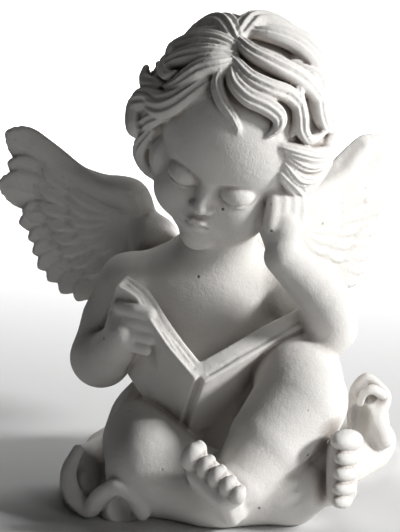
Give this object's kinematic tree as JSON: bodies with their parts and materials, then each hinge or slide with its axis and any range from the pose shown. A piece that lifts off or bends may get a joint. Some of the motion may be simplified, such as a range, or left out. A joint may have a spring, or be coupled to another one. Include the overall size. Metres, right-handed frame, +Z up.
{
  "type": "stone cherub statue",
  "caption": "Seated winged cherub in cast stone, reading an open book with its cheek on its hand, on a folded cloth; a small garden or shelf ornament.",
  "frame": {"origin": "middle of the statue's bounding box, on the floor it stands on", "axes": "+Z up, the figure faces -Y, +X towards the figure's left hand"},
  "size_m": [0.237, 0.205, 0.28],
  "materials": {
    "cast_stone": "matt off-white cast stone, grainy, darker in the hollows"
  },
  "bodies": {
    "root": {"cherub_statue": "cast_stone"}
  },
  "joints": []
}
